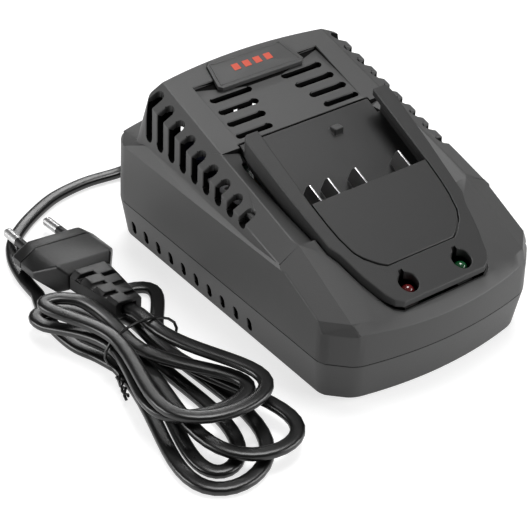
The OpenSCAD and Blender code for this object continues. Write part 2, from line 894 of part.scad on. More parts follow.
lead_out = smooth_path([[-81.5, -7, 14.6], [-80.3, 3.2, 12.7], [-80.1, 7.7, 11.2], [-80, 12.2, 10.5]], 2);
hank_path = concat([for (i = [0:len(lead_in) - 2]) lead_in[i]], petal_path, lead_out);
hank_run = [for (i = 0, d = 0; i < len(hank_path); d = d + (i + 1 < len(hank_path) ? norm(hank_path[i + 1] - hank_path[i]) : 0), i = i + 1) d];
function flat_gap(a, b) =
    let (h = norm([a[0] - b[0], a[1] - b[1]]) - cord_w, v = abs(a[2] - b[2]) - cord_t)
    norm([max(h, 0), max(v, 0)]);
function mid(i) = (hank_path[i] + hank_path[i + 1]) / 2;
hank_gap = min([for (i = [0:len(hank_path) - 2]) for (j = [i + 1:len(hank_path) - 2]) if (hank_run[j] - hank_run[i] > 16) min(flat_gap(hank_path[i], hank_path[j]), flat_gap(mid(i), hank_path[j]), flat_gap(hank_path[i], mid(j)), flat_gap(mid(i), mid(j)))]);
echo(hank_length = hank_run[len(hank_run) - 1], hank_gap = hank_gap);

module cord_hank() {
    color(c_black)
        flat_tube(hank_path, [for (i = [0:len(hank_path) - 1]) [cord_w, cord_t]], 6);
}

// the wire tie: a ring squeezed round the bundle, its two ends twisted together
tie_ring = [for (k = [0:20]) [-86.4 + 15.2 * cos(18 * k - 90), -7.6 + 1.6 * sin(18 * k - 90), 8.9 + 8.3 * sin(18 * k - 90)]];

module twist_tie() {
    color(c_black) {
        for (k = [0:19])
            rod(tie_ring[k], tie_ring[k + 1], 0.55);
        for (s = [0, 180])
            for (k = [0:7])
                rod(twist_point(k, s), twist_point(k + 1, s), 0.55);
    }
}
function twist_point(k, s) = [-99.5 - 0.5 * k + 0.8 * cos(75 * k + s), -12.5 - 1.5 * k, 3.2 + 0.8 * sin(75 * k + s)];

module rod(a, b, r) {
    d = b - a;
    translate(a)
        rotate([0, acos(d[2] / norm(d)), atan2(d[1], d[0])])
            cylinder(h = norm(d) + 0.2, r = r, $fn = 6);
}

lower_shell();
upper_housing();
dock_cradle();
contact_cover();
name_plate();
contact_blades();
terminal_block();
led_red();
led_green();
led_holders();
main_board();
transformer_core();
transformer_winding();
mains_capacitor();
output_capacitors();
heat_sink();
power_transistor();
line_choke();
fuse();
bridge_rectifier();
control_chip();
mains_leads();
housing_screws();
rubber_feet();
cord_boot();
cord_clamp();
cord_run();
cord_hank();
twist_tie();
plug_body();
plug_relief();
plug_pins();
pin_sleeves();
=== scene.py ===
"""Dresses the solids of a battery charger for its picture.

In this order: camera, looks, the mains lead, the moulded skins that stand for the solids, the lid
over the contacts, the rim of the name plate, the lip of the apron, the fittings inside, and then
the floor, the world and the lamps. Sizes in millimetres are turned into metres by MM.
"""

import bpy
import bmesh
import json
import math
from mathutils import Matrix, Vector
from mathutils.bvhtree import BVHTree
from mathutils.kdtree import KDTree

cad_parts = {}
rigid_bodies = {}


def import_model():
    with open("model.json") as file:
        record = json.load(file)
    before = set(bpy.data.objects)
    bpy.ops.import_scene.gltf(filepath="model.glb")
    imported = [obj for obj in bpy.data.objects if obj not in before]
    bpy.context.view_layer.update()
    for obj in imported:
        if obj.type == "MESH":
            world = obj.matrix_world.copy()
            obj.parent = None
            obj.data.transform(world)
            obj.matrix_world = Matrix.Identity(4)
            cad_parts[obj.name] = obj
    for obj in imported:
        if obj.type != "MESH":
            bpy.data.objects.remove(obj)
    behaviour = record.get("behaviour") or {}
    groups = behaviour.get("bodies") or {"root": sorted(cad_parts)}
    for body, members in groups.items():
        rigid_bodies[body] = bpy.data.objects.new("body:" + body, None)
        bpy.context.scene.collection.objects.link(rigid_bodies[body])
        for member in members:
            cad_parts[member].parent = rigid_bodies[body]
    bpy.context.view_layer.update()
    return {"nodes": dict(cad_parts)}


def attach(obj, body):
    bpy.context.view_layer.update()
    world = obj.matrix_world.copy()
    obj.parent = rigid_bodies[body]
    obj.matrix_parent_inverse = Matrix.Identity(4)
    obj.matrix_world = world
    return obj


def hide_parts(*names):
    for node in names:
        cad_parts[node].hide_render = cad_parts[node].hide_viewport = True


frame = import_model()
nodes = frame["nodes"]

MM = 0.001
UP = Vector((0, 0, 1))

# The part's own sizes, in millimetres, under the names that its source gives them
PART_Z = 17.5
FOLD_Y = -35.4
FOLD_Z = 48.6
DECK_K = 0.267
FRONT_K = 0.456
DOCK_K = 0.44
DOCK_Z = 55.8
CONTACT_Y = -25.8
CORD_W = 5.4
CORD_T = 3.2


def deck_at(y):
    """Height of the deck, the slope behind the fold."""
    return FOLD_Z + DECK_K * (y - FOLD_Y)


def slope_at(y):
    """Height of the front slope."""
    return FOLD_Z + FRONT_K * (y - FOLD_Y)


def rail_at(y):
    """Height of the rails' top faces."""
    return DOCK_Z + DOCK_K * (y - CONTACT_Y)


def clear_selection():
    for o in bpy.context.view_layer.objects:
        o.select_set(False)
    bpy.context.view_layer.objects.active = None


def select_only(o):
    clear_selection()
    o.select_set(True)
    bpy.context.view_layer.objects.active = o


clear_selection()

# ---------------------------------------------------------------- camera

VIEW_FROM = Vector((-361.33, -430.37, 407.73)) * MM
VIEW_RIGHT = Vector((0.80133, -0.59751, 0.0294))
VIEW_UP = Vector((0.33093, 0.48369, 0.81027))
VIEW_BACK = Vector((-0.49836, -0.63956, 0.58532))
PHOTO_PIXELS = 530.0
FOCAL_PIXELS = 1800.0
SENSOR = 36.0

lens = bpy.data.cameras.new("view")
lens.sensor_width = SENSOR
lens.lens = FOCAL_PIXELS / PHOTO_PIXELS * SENSOR
lens.clip_start = 0.02
lens.clip_end = 20.0
camera = bpy.data.objects.new("view", lens)
bpy.context.scene.collection.objects.link(camera)
turn = Matrix((VIEW_RIGHT, VIEW_UP, VIEW_BACK)).transposed().to_4x4()
camera.matrix_world = Matrix.Translation(VIEW_FROM) @ turn
bpy.context.scene.camera = camera

# ---------------------------------------------------------------- looks


class Signal:
    """An output socket that can be added to, multiplied and so on."""

    def __init__(self, board, socket):
        self.board = board
        self.socket = socket

    def _math(self, kind, a, b):
        return self.board.node("ShaderNodeMath", {"operation": kind}, {0: a, 1: b})

    def __add__(self, other):
        return self._math("ADD", self, other)

    def __radd__(self, other):
        return self._math("ADD", other, self)

    def __sub__(self, other):
        return self._math("SUBTRACT", self, other)

    def __rsub__(self, other):
        return self._math("SUBTRACT", other, self)

    def __mul__(self, other):
        return self._math("MULTIPLY", self, other)

    def __rmul__(self, other):
        return self._math("MULTIPLY", other, self)

    def __abs__(self):
        return self._math("ABSOLUTE", self, 0.0)

    def or_more(self, other):
        """The larger of the two."""
        return self._math("MAXIMUM", self, other)

    def above(self, edge, soft):
        """0 below the edge, 1 above it, over a soft width."""
        return self.board.node(
            "ShaderNodeMapRange",
            {"clamp": True},
            {0: self, 1: edge - soft, 2: edge + soft, 3: 0.0, 4: 1.0},
        )


class Board:
    """An emptied node tree, and the one method that adds nodes to it."""

    def __init__(self, owner):
        owner.use_nodes = True
        self.tree = owner.node_tree
        self.tree.nodes.clear()

    def node(self, kind, settings=None, sockets=None, out=0):
        n = self.tree.nodes.new(kind)
        for key, value in (settings or {}).items():
            setattr(n, key, value)
        for key, value in (sockets or {}).items():
            if isinstance(value, Signal):
                self.tree.links.new(value.socket, n.inputs[key])
            else:
                n.inputs[key].default_value = value
        return Signal(self, n.outputs[out]) if n.outputs else None


class Look(Board):
    """One material, built round a Principled shader."""

    def __init__(self, name, **fixed):
        self.material = bpy.data.materials.new(name)
        super().__init__(self.material)
        values = {key.replace("_", " "): value for key, value in fixed.items()}
        shaded = self.node("ShaderNodeBsdfPrincipled", None, values)
        self.shader = shaded.socket.node
        self.node("ShaderNodeOutputMaterial", None, {0: shaded})

    def place(self, stretch=(1, 1, 1)):
        """The spot on the object, squeezed along an axis to draw a pattern out."""
        spot = self.node("ShaderNodeTexCoord", out="Object")
        return self.node("ShaderNodeMapping", None, {"Vector": spot, "Scale": stretch})

    def noise(self, scale, detail=2.0, stretch=(1, 1, 1)):
        return self.node(
            "ShaderNodeTexNoise",
            None,
            {"Vector": self.place(stretch), "Scale": scale, "Detail": detail, "Roughness": 0.5},
        )

    def blend(self, amount, a, b):
        return self.node("ShaderNodeMix", {"data_type": "RGBA"}, {0: amount, 6: a, 7: b}, out=2)

    def feed(self, key, signal):
        self.tree.links.new(signal.socket, self.shader.inputs[key])

    def bump(self, height, strength, distance):
        relief = {"Height": height, "Strength": strength, "Distance": distance}
        self.feed("Normal", self.node("ShaderNodeBump", None, relief))


def grey(v, warm=0.0):
    """A near-neutral colour from a grey level between 0 and 255."""
    lin = ((v / 255 + 0.055) / 1.055) ** 2.4
    return (lin * (1 + warm), lin, lin * (1 - warm), 1.0)


# A painted shadow line where the two shells of the housing meet: half its width, its softness and
# its grey
SEAM_SHADOW_HALF = 0.3 * MM
SEAM_SHADOW_SOFT = 0.12 * MM
SEAM_SHADOW_GREY = 12


def moulded(name, shade, roughness, grain=0.3, size=2200.0, sheen=0.5, seam_shadow=None):
    """Moulded plastic with a spark-eroded skin; seam_shadow gives a painted shadow line at one
    height, the shade in the joint between two shells.
    """
    look = Look(name, Specular_IOR_Level=sheen)
    fine = look.noise(size, 3.0)
    broad = look.noise(38.0)
    tint = look.blend(broad, grey(shade * 0.955), grey(shade * 1.045, 0.004))
    # A dark band in the colour at one height: painted shade of the joint between the shells
    if seam_shadow:
        height = look.node("ShaderNodeSeparateXYZ", None, {0: look.place()}, out=2)
        tint = look.blend(abs(height - seam_shadow).above(SEAM_SHADOW_HALF, SEAM_SHADOW_SOFT), grey(SEAM_SHADOW_GREY), tint)
    look.feed("Base Color", tint)
    look.feed("Roughness", roughness - 0.05 + 0.1 * fine)
    look.bump(fine, grain, 0.12 * MM)
    return look.material


def lead_skin(name):
    """Soft, shiny cover of the mains lead."""
    look = Look(name, Specular_IOR_Level=0.55)
    fine = look.noise(500.0)
    look.feed("Base Color", look.blend(fine, grey(5), grey(9)))
    look.feed("Roughness", 0.24 + 0.12 * look.noise(120.0))
    look.bump(fine, 0.12, 0.1 * MM)
    return look.material


def metal(name, colour, roughness, stretch=(1, 1, 1), scale=800.0):
    """Metal with streaks drawn out along one axis."""
    look = Look(name, Metallic=1.0)
    streak = look.noise(scale, 3.0, stretch)
    pale = tuple(min(1.0, c * 1.08) for c in colour)
    dull = tuple(c * 0.86 for c in colour)
    look.feed("Base Color", look.blend(streak, (*dull, 1.0), (*pale, 1.0)))
    look.feed("Roughness", roughness - 0.06 + 0.14 * streak)
    look.bump(streak, 0.1, 0.05 * MM)
    return look.material


def lens_look(name, colour):
    """Clouded, tinted plastic of an indicator."""
    look = Look(name, Transmission_Weight=0.35, IOR=1.5, Coat_Weight=0.6)
    cloud = look.noise(900.0)
    deep = tuple(c * 0.7 for c in colour)
    look.feed("Base Color", look.blend(cloud, (*deep, 1.0), (*colour, 1.0)))
    look.feed("Roughness", 0.12 + 0.1 * cloud)
    return look.material


def painted(name, a, b, roughness, scale=300.0):
    """An even surface, spotted between two near colours."""
    look = Look(name)
    spots = look.noise(scale)
    look.feed("Base Color", look.blend(spots, (*a, 1.0), (*b, 1.0)))
    look.feed("Roughness", roughness - 0.05 + 0.1 * spots)
    look.bump(spots, 0.1, 0.1 * MM)
    return look.material


# The housing's skin carries that painted shadow line at the parting height
HOUSING = moulded("housing skin", 58, 0.5, seam_shadow=PART_Z * MM)
DOCK = moulded("dock skin", 28, 0.5)
# Near black: painted shade for faces deep in the housing's slots and hollows, where little light
# reaches
PAINTED_SHADE_INSIDE = moulded("painted shade inside the mouldings", 7, 0.8, sheen=0.1)
PLATE = moulded("plate skin", 54, 0.4, 0.15, 1500.0)
BLACK = moulded("black moulding", 20, 0.45, 0.2)
PLUG = moulded("plug skin", 16, 0.4, 0.22, 900.0, 0.4)
RUBBER = moulded("foot rubber", 26, 0.8, 0.5, 1200.0, 0.3)
LEAD = lead_skin("lead skin")
CONTACT = metal("contact strip", (0.5, 0.5, 0.5), 0.32, (1, 0.1, 1))
PIN = metal("pin metal", (0.5, 0.5, 0.5), 0.36, (1, 0.3, 1), 250.0)
SCREW = metal("screw metal", (0.62, 0.62, 0.64), 0.36)
FIN = metal("fin metal", (0.7, 0.7, 0.72), 0.4, (1, 1, 0.1))
# Copper darkened well below its own colour, as painted shade inside the housing
SHADED_COIL = metal("coil wire darkened as painted shade", (0.45, 0.2, 0.09), 0.34, (0.05, 0.05, 12), 300.0)
RED_LENS = lens_look("red lens", (0.2, 0.012, 0.014))
GREEN_LENS = lens_look("green lens", (0.008, 0.12, 0.035))
LAMINATE = painted("laminate", (0.01, 0.07, 0.03), (0.02, 0.11, 0.05), 0.35)
FERRITE = painted("core plates", (0.03, 0.03, 0.032), (0.06, 0.06, 0.06), 0.6)
SLEEVE = painted("capacitor sleeve", (0.012, 0.014, 0.03), (0.02, 0.022, 0.045), 0.3)
CERAMIC = painted("ceramic", (0.6, 0.59, 0.56), (0.7, 0.69, 0.67), 0.3)
# A purple cover, darkened below its own colour as painted shade inside the housing
SHADED_WIRE = painted("wire cover darkened as painted shade", (0.1, 0.07, 0.2), (0.16, 0.1, 0.24), 0.4)
ORANGE = painted("orange marking", (0.5, 0.05, 0.02), (0.56, 0.065, 0.025), 0.5)

# ---------------------------------------------------------------- meshes


def new_object(name, mesh):
    o = bpy.data.objects.new(name, mesh)
    bpy.context.scene.collection.objects.link(o)
    return o


def lofted(name, rings, material, joined=False):
    """Skins a row of rings of points; the last ring is joined to the first, or both are closed."""
    bm = bmesh.new()
    loops = [[bm.verts.new(p) for p in ring] for ring in rings]
    for r, s in zip(loops, loops[1:] + loops[:1] if joined else loops[1:]):
        for k in range(len(r)):
            n = (k + 1) % len(r)
            bm.faces.new((r[k], s[k], s[n], r[n]))
    if not joined:
        bm.faces.new(loops[0])
        bm.faces.new(list(reversed(loops[-1])))
    bmesh.ops.recalc_face_normals(bm, faces=bm.faces)
    mesh = bpy.data.meshes.new(name)
    bm.to_mesh(mesh)
    bm.free()
    mesh.materials.append(material)
    return new_object(name, mesh)


# ---------------------------------------------------------------- the lead

# The bundle goes through its waist ten times, each time at its own distance across and on its
# own layer, and makes a petal between one pass and the next
WAIST = (-86.5, -7.0)
LAYERS = (1.8, 6.2, 10.5, 14.6)
PASSES = (
    (-9.5, 0), (10.6, 0), (-3.2, 0), (2.8, 0), (6.4, 1),
    (-3.5, 1), (-10.4, 2), (-3.8, 2), (-10, 3), (5, 3),
)
# reach along Y, width, lean to the side, layer at the tip, side on which the petal starts
PETALS = (
    (-74.3, 20.2, -9.2, 0, -1), (37.7, 26.3, 7.5, 0, 1), (-66, 13.6, -8.8, 0, -1),
    (29.5, 8.6, -4, 0, -1), (-71.6, 23, 8, 1, 1), (38, 10, -11, 1, 1),
    (-48, 27, 11, 2, -1), (33, 7, -11, 3, 1), (-55, 26, 7.5, 3, -1),
)
PETAL_RINGS = 32
PETAL_SWELL = 0.65  # how far a petal opens for its width
PETAL_ROUND = 0.8  # below 1 it opens sooner
PETAL_SETTLE = 1.6  # how soon it comes down to the layer of its tip

# Points listed in millimetres: boot to bundle, into the waist, and up to the plug
RUN_ROUTE = [
    (-13.4, 91, 6.6), (-17.8, 94.6, 5.2), (-22.6, 97.4, 3.6), (-28.8, 99.4, 2.1),
    (-42.2, 101, 1.8), (-56.9, 99, 1.8), (-68.2, 94.3, 1.8), (-79.4, 87.6, 1.8),
    (-88, 80, 1.8), (-93.5, 70, 1.8), (-96.4, 58, 1.8), (-97.4, 46, 1.8),
]
LEAD_IN = [
    (-97.4, 46, 1.8), (-100.8, 36, 1.8), (-102.6, 25, 1.8), (-102, 12, 1.8),
    (-98.4, 2, 1.8), (-96, -7, 1.8),
]
LEAD_OUT = [(-81.5, -7, 14.6), (-80.3, 3.2, 12.7), (-80.1, 7.7, 11.2), (-80, 12.2, 10.5)]


def spline(points, steps):
    """A smooth line through the points, as a list of vectors."""
    p = [Vector(q) for q in points]
    line = []
    for i in range(len(p) - 1):
        a, b, c, d = p[max(0, i - 1)], p[i], p[i + 1], p[min(len(p) - 1, i + 2)]
        for k in range(steps):
            t = k / steps
            line.append(
                0.5 * (2 * b + (c - a) * t + (2 * a - 5 * b + 4 * c - d) * t**2
                       + (3 * b - a - 3 * c + d) * t**3)
            )
    return line + [p[-1]]


def ease(v):
    return v * v * (3 - 2 * v)


def petal(start, end, shape):
    """One loop out of the waist and back, from one pass to the next."""
    reach, width, lean, layer, side = shape
    line = []
    for i in range(PETAL_RINGS):
        v = i / PETAL_RINGS
        s = math.sin(math.pi * v)
        e = ease(v)
        w = min(1.0, PETAL_SETTLE * s * s)
        x = WAIST[0] + start[0] * (1 - e) + end[0] * e + lean * s * s
        x += side * width * PETAL_SWELL * math.sin(2 * math.pi * v) * s**PETAL_ROUND
        between = LAYERS[start[1]] * (1 - e) + LAYERS[end[1]] * e
        z = between * (1 - w) + LAYERS[layer] * w
        line.append(Vector((x, WAIST[1] + reach * s, z)))
    return line


def lead_route():
    """The middle line of the whole lead, in metres."""
    line = spline(RUN_ROUTE, 8)[:-1] + spline(LEAD_IN, 6)[:-1]
    for start, end, shape in zip(PASSES, PASSES[1:], PETALS):
        line += petal(start, end, shape)
    line += spline(LEAD_OUT, 4)
    return [p * MM for p in line]


SECTION_POINTS = 20
SIDE_ROUND = 0.75  # 1 is an ellipse, less is fuller
TOP_ROUND = 0.6
GROOVE = 0.06  # depth, as a share of the thickness
GROOVE_W = 0.14  # half width, as a share of the lead's width


def lead_section():
    """Round sides and a faint groove between the two cores: (across, up) pairs in metres."""
    points = []
    for k in range(SECTION_POINTS):
        a = 2 * math.pi * (k + 0.5) / SECTION_POINTS
        across = math.copysign(CORD_W / 2 * abs(math.cos(a)) ** SIDE_ROUND, math.cos(a))
        up = math.copysign(CORD_T / 2 * abs(math.sin(a)) ** TOP_ROUND, math.sin(a))
        up *= 1 - GROOVE * math.exp(-((across / (CORD_W * GROOVE_W)) ** 2))
        points.append((across * MM, up * MM))
    return points


def lead_rings(line, section):
    """The section set square to the line at each of its points, its width kept level."""
    rings = []
    for i, p in enumerate(line):
        t = (line[min(i + 1, len(line) - 1)] - line[max(i - 1, 0)]).normalized()
        side = UP.cross(t).normalized()
        top = t.cross(side)
        rings.append([p + side * across + top * up for across, up in section])
    return rings


lead_line = lead_route()
lead = lofted("mains_lead", lead_rings(lead_line, lead_section()), LEAD)
lead.data.polygons.foreach_set("use_smooth", [True] * len(lead.data.polygons))
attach(lead, "root")
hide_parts("cord_run", "cord_hank")

# ---------------------------------------------------------------- dressing the solids

EASE_ATTEMPTS = 7
TOO_SMALL = 4e-9  # square metres; a smaller face says nothing about a bevel
SHORT_EDGE = 1.5 * MM
# As shares of the bevel's width: a face this far off the skin has strayed, and edges this near
# to it are left sharp
STRAY = 0.7
CLEAR_OF_STRAY = 2.2
TURNED_OVER = -0.1  # cosine between a face's way and the skin's


def bevelled(bm, edges, width):
    """A copy of the mesh with those edges rounded."""
    trial = bm.copy()
    trial.edges.ensure_lookup_table()
    bmesh.ops.bevel(
        trial,
        geom=[trial.edges[i] for i in sorted(edges)],
        offset=width,
        offset_type="OFFSET",
        segments=2,
        profile=0.5,
        affect="EDGES",
        clamp_overlap=False,
        miter_outer="SHARP",
    )
    trial.normal_update()
    return trial


def strayed(trial, skin, width):
    """Middles of the faces that a bevel threw off the solid's skin, or turned over."""
    spots = []
    for f in trial.faces:
        if f.calc_area() < TOO_SMALL:
            continue
        c = f.calc_center_median()
        _, normal, _, off = skin.find_nearest(c)
        if off > STRAY * width or normal.dot(f.normal) < TURNED_OVER:
            spots.append(c)
    return spots


def eased(bm, width, limit):
    """Rounds the sharp edges, leaving out those with too little room for it."""
    skin = BVHTree.FromBMesh(bm)
    bm.edges.ensure_lookup_table()
    keen = {
        e.index
        for e in bm.edges
        if len(e.link_faces) == 2
        and e.calc_face_angle() > math.radians(limit)
        and e.calc_length() > width
    }
    middle = {i: (bm.edges[i].verts[0].co + bm.edges[i].verts[1].co) / 2 for i in keen}
    half = {i: bm.edges[i].calc_length() / 2 for i in keen}
    near = CLEAR_OF_STRAY * width
    for attempt in range(EASE_ATTEMPTS):
        trial = bevelled(bm, keen, width)
        wrong = strayed(trial, skin, width)
        if not wrong or attempt == EASE_ATTEMPTS - 1:
            break
        tree = KDTree(len(wrong))
        for k, c in enumerate(wrong):
            tree.insert(c, k)
        tree.balance()
        drop = {
            i
            for i in keen
            if tree.find(middle[i])[2] < near + min(half[i], SHORT_EDGE)
            or min(tree.find(v.co)[2] for v in bm.edges[i].verts) < near
        }
        if not drop:
            break
        keen -= drop
        trial.free()
    return trial


def shell_tree(names):
    """All walls of the housing in one tree of triangles."""
    bm = bmesh.new()
    for name in names:
        bm.from_mesh(nodes[name].data)
    tree = BVHTree.FromBMesh(bm)
    bm.free()
    return tree


GOLDEN_TURN = 2.4  # radians


def even_ways(count):
    """Directions spread evenly over a ball, by a spiral from its top to its bottom."""
    ways = []
    for k in range(count):
        h = 1 - (k + 0.5) / (count / 2)
        r = math.sqrt(1 - h * h)
        a = GOLDEN_TURN * k
        ways.append(Vector((r * math.cos(a), r * math.sin(a), h)))
    return ways


# Faces from which few of these ways lead out of the housing are painted dark, as shade
SHELL = shell_tree(["lower_shell", "upper_housing", "dock_cradle", "contact_cover", "name_plate"])
WAYS = even_ways(40)
LOOK_FAR = 0.3
GLANCING = 0.15  # cosine; ways that graze the face itself aren't tried
FEW_WAYS = 5
FEW_WAYS_SMALL = 9
SMALL_FACE = 4e-5  # square metres
# Farther out than this are only the upright corners of the housing and the walls beside them
CORNER_X = 34 * MM
CORNER_Y = 57 * MM


def ways_out(face):
    """How many of the ways off a face lead out of the housing."""
    start = face.center + face.normal * 0.1 * MM
    return sum(
        1
        for w in WAYS
        if w.dot(face.normal) > GLANCING and SHELL.ray_cast(start, w, LOOK_FAR)[0] is None
    )


def in_painted_shade(face):
    """Whether a face lies inside the housing, where it gets painted shade; a small one needs more
    ways out.
    """
    c = face.center
    if abs(c.x) > CORNER_X and abs(c.y) > CORNER_Y and face.normal.dot(Vector((c.x, c.y, 0))) > 0:
        return False
    seen = ways_out(face)
    return seen < FEW_WAYS or seen < FEW_WAYS_SMALL and face.area < SMALL_FACE


CORNER_REACH = 3.2 * MM  # from the sharp edge to where its arc starts
CORNER_CUTS = (1.0, 0.78, 0.56, 0.34, 0.15)  # where the walls are cut, as shares of that
CORNER_TURN = (math.radians(25), math.radians(60))  # least and most angle between the walls
TALL = 12 * MM
LITTLE = 0.01 * MM
ON_WALL = 0.15 * MM
PAST_EDGE = 0.05 * MM
WALL_GAP = 0.3 * MM
# Cosines: of an edge to the upright, of one edge to the next, and of a face to its wall
UPRIGHT = 0.9
IN_LINE = 0.999
SAME_WALL = 0.995


def level(v):
    """The level direction of a vector."""
    return Vector((v.x, v.y, 0)).normalized()


def upright_corners(bm):
    """The tall outer edges at the housing's corners, as foot, head and the two walls' ways."""
    pieces = []
    for e in bm.edges:
        foot, head = sorted((v.co.copy() for v in e.verts), key=lambda c: c.z)
        if abs(foot.x) < CORNER_X or abs(foot.y) < CORNER_Y:
            continue
        if (head - foot).normalized().z < UPRIGHT or len(e.link_faces) != 2 or not e.is_convex:
            continue
        if CORNER_TURN[0] < e.calc_face_angle() < CORNER_TURN[1]:
            pieces.append((foot, head, [level(f.normal) for f in e.link_faces]))
    found = []
    for foot, head, walls in sorted(pieces, key=lambda piece: piece[0].z):
        for k, (start, end, ways) in enumerate(found):
            rise = (end - start).normalized()
            off = foot - start
            straight = rise.dot((head - foot).normalized()) > IN_LINE
            if straight and (off - rise * off.dot(rise)).length < PAST_EDGE:
                found[k] = (start, head, ways)
                break
        else:
            found.append((foot, head, walls))
    tall = [corner for corner in found if corner[1].z - corner[0].z > TALL]
    return sorted(tall, key=lambda c: (c[0].y > 0, -round(abs(c[0].x), 5), c[0].x))


def round_upright(bm, foot, head, walls):
    """Turns one upright corner of the outer skin into an arc between its two walls."""

    def edge_at(z):
        return foot.lerp(head, (z - foot.z) / (head.z - foot.z))

    def past_edge(p):
        """How far a point of either wall is from the corner, or None off both."""
        v = p - edge_at(p.z)
        for n, t in zip(walls, ways):
            if abs(v.dot(n)) < ON_WALL and v.dot(t) > -PAST_EDGE:
                return v.dot(t)
        return None

    def crosses(face, n, spot, flat):
        """Whether a face of the wall lies on both sides of the cut."""
        steep = math.hypot(face.normal.x, face.normal.y) > UPRIGHT
        if not steep or level(face.normal).dot(n) < SAME_WALL:
            return False
        points = [v.co for v in face.verts]
        sides = [(p - spot).dot(flat) for p in points]
        return (
            min(sides) < -LITTLE / 10 and max(sides) > LITTLE / 10
            and min(abs((p - edge_at(p.z)).dot(n)) for p in points) < WALL_GAP
            and min(p.z for p in points) < head.z - LITTLE
            and max(p.z for p in points) > foot.z + LITTLE
        )

    ways = []
    for n, other in (walls, walls[::-1]):
        t = UP.cross(n)
        ways.append(t if t.dot(other) < 0 else -t)
    rise = (head - foot).normalized()
    for n, t in zip(walls, ways):
        flat = rise.cross(n).normalized()
        for share in CORNER_CUTS:
            spot = foot + t * CORNER_REACH * share
            cut = {}
            for f in bm.faces:
                if crosses(f, n, spot, flat):
                    cut.update(dict.fromkeys([f, *f.edges, *f.verts]))
            bmesh.ops.bisect_plane(bm, geom=list(cut), dist=1e-7, plane_co=spot, plane_no=flat)

    half = walls[0].angle(walls[1]) / 2
    radius = CORNER_REACH / math.tan(half)
    middle = (walls[0] + walls[1]).normalized()
    for v in bm.verts:
        if not foot.z - LITTLE < v.co.z < head.z + LITTLE:
            continue
        far = past_edge(v.co)
        if far is None or far > CORNER_REACH:
            continue
        centre = edge_at(v.co.z) - middle * radius / math.cos(half)
        spot = centre + level(v.co - centre) * radius
        v.co.x, v.co.y = spot.x, spot.y
    bm.normal_update()


def dressed(node, material, bevel=0.4, limit=24.0, smooth=26.0, inside=None, corners=False):
    """A merged copy of a solid, its edges rounded, standing for it."""
    mesh = nodes[node].data.copy()
    mesh.name = node + "_skin"
    bm = bmesh.new()
    bm.from_mesh(mesh)
    bmesh.ops.remove_doubles(bm, verts=bm.verts, dist=2e-6)
    bm.normal_update()
    if corners:
        for foot, head, walls in upright_corners(bm):
            round_upright(bm, foot, head, walls)
    if bevel:
        bm = eased(bm, bevel * MM, limit)
    bm.to_mesh(mesh)
    bm.free()
    mesh.materials.clear()
    mesh.materials.append(material)
    # Faces deep inside the housing take the second material, which is painted shade
    if inside:
        mesh.materials.append(inside)
    for p in mesh.polygons:
        p.material_index = 1 if inside and in_painted_shade(p) else 0
    o = new_object(node + "_skin", mesh)
    select_only(o)
    bpy.ops.object.shade_smooth_by_angle(angle=math.radians(smooth))
    m = o.modifiers.new("flat first", "WEIGHTED_NORMAL")
    m.keep_sharp = True
    m.weight = 80
    bpy.ops.object.modifier_apply(modifier="flat first")
    clear_selection()
    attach(o, "root")
    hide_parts(node)
    return o


for half_housing in ("lower_shell", "upper_housing"):
    dressed(half_housing, HOUSING, 0.35, smooth=12.5, inside=PAINTED_SHADE_INSIDE, corners=True)
dressed("dock_cradle", DOCK, 0.35, smooth=12.5)
plate = dressed("name_plate", PLATE, 0.15)
dressed("contact_blades", CONTACT, 0.12)
dressed("plug_body", PLUG, 0.7, limit=20)
dressed("plug_relief", PLUG, limit=20)
dressed("plug_pins", PIN, 0.15)
dressed("pin_sleeves", PLUG, 0.12)
dressed("cord_boot", PLUG, 0)
dressed("twist_tie", LEAD, 0)

# Faces that stand this far over the deck belong to the four bars
BAR_OVER_DECK = 0.7782
plate.data.materials.append(ORANGE)
for p in plate.data.polygons:
    if p.center.z > (deck_at(p.center.y / MM) + BAR_OVER_DECK) * MM:
        p.material_index = 1

# ---------------------------------------------------------------- the lid over the contacts

COVER_THICK = 2.0
COVER_EDGE = 0.25
BROAD_FACE = 1e-4  # square metres; such a face is shaded flat
# The right half of its outline, from the contact wall to the front
COVER_HALF = [
    (26.3, CONTACT_Y), (25.9, -35), (25.2, -41.3), (24.8, -42.6), (23.8, -47.2),
    (21.8, -50.1), (17.9, -53.8), (15.1, -55.5),
]


def mirrored(half_outline):
    """A whole outline from its right half."""
    return half_outline + [(-x, y) for x, y in reversed(half_outline)]


def rounded(outline, keep=2, rounds=3, share=0.2):
    """Cuts the corners of an open line again and again, apart from its first ones."""
    pts = [Vector((x, y, 0)) for x, y in outline]
    for _ in range(rounds):
        out = pts[:keep]
        for a, b in zip(pts[keep - 1:], pts[keep:]):
            out += [a.lerp(b, share), a.lerp(b, 1 - share)]
        pts = out + [pts[-1]]
    return [(p.x, p.y) for p in pts]


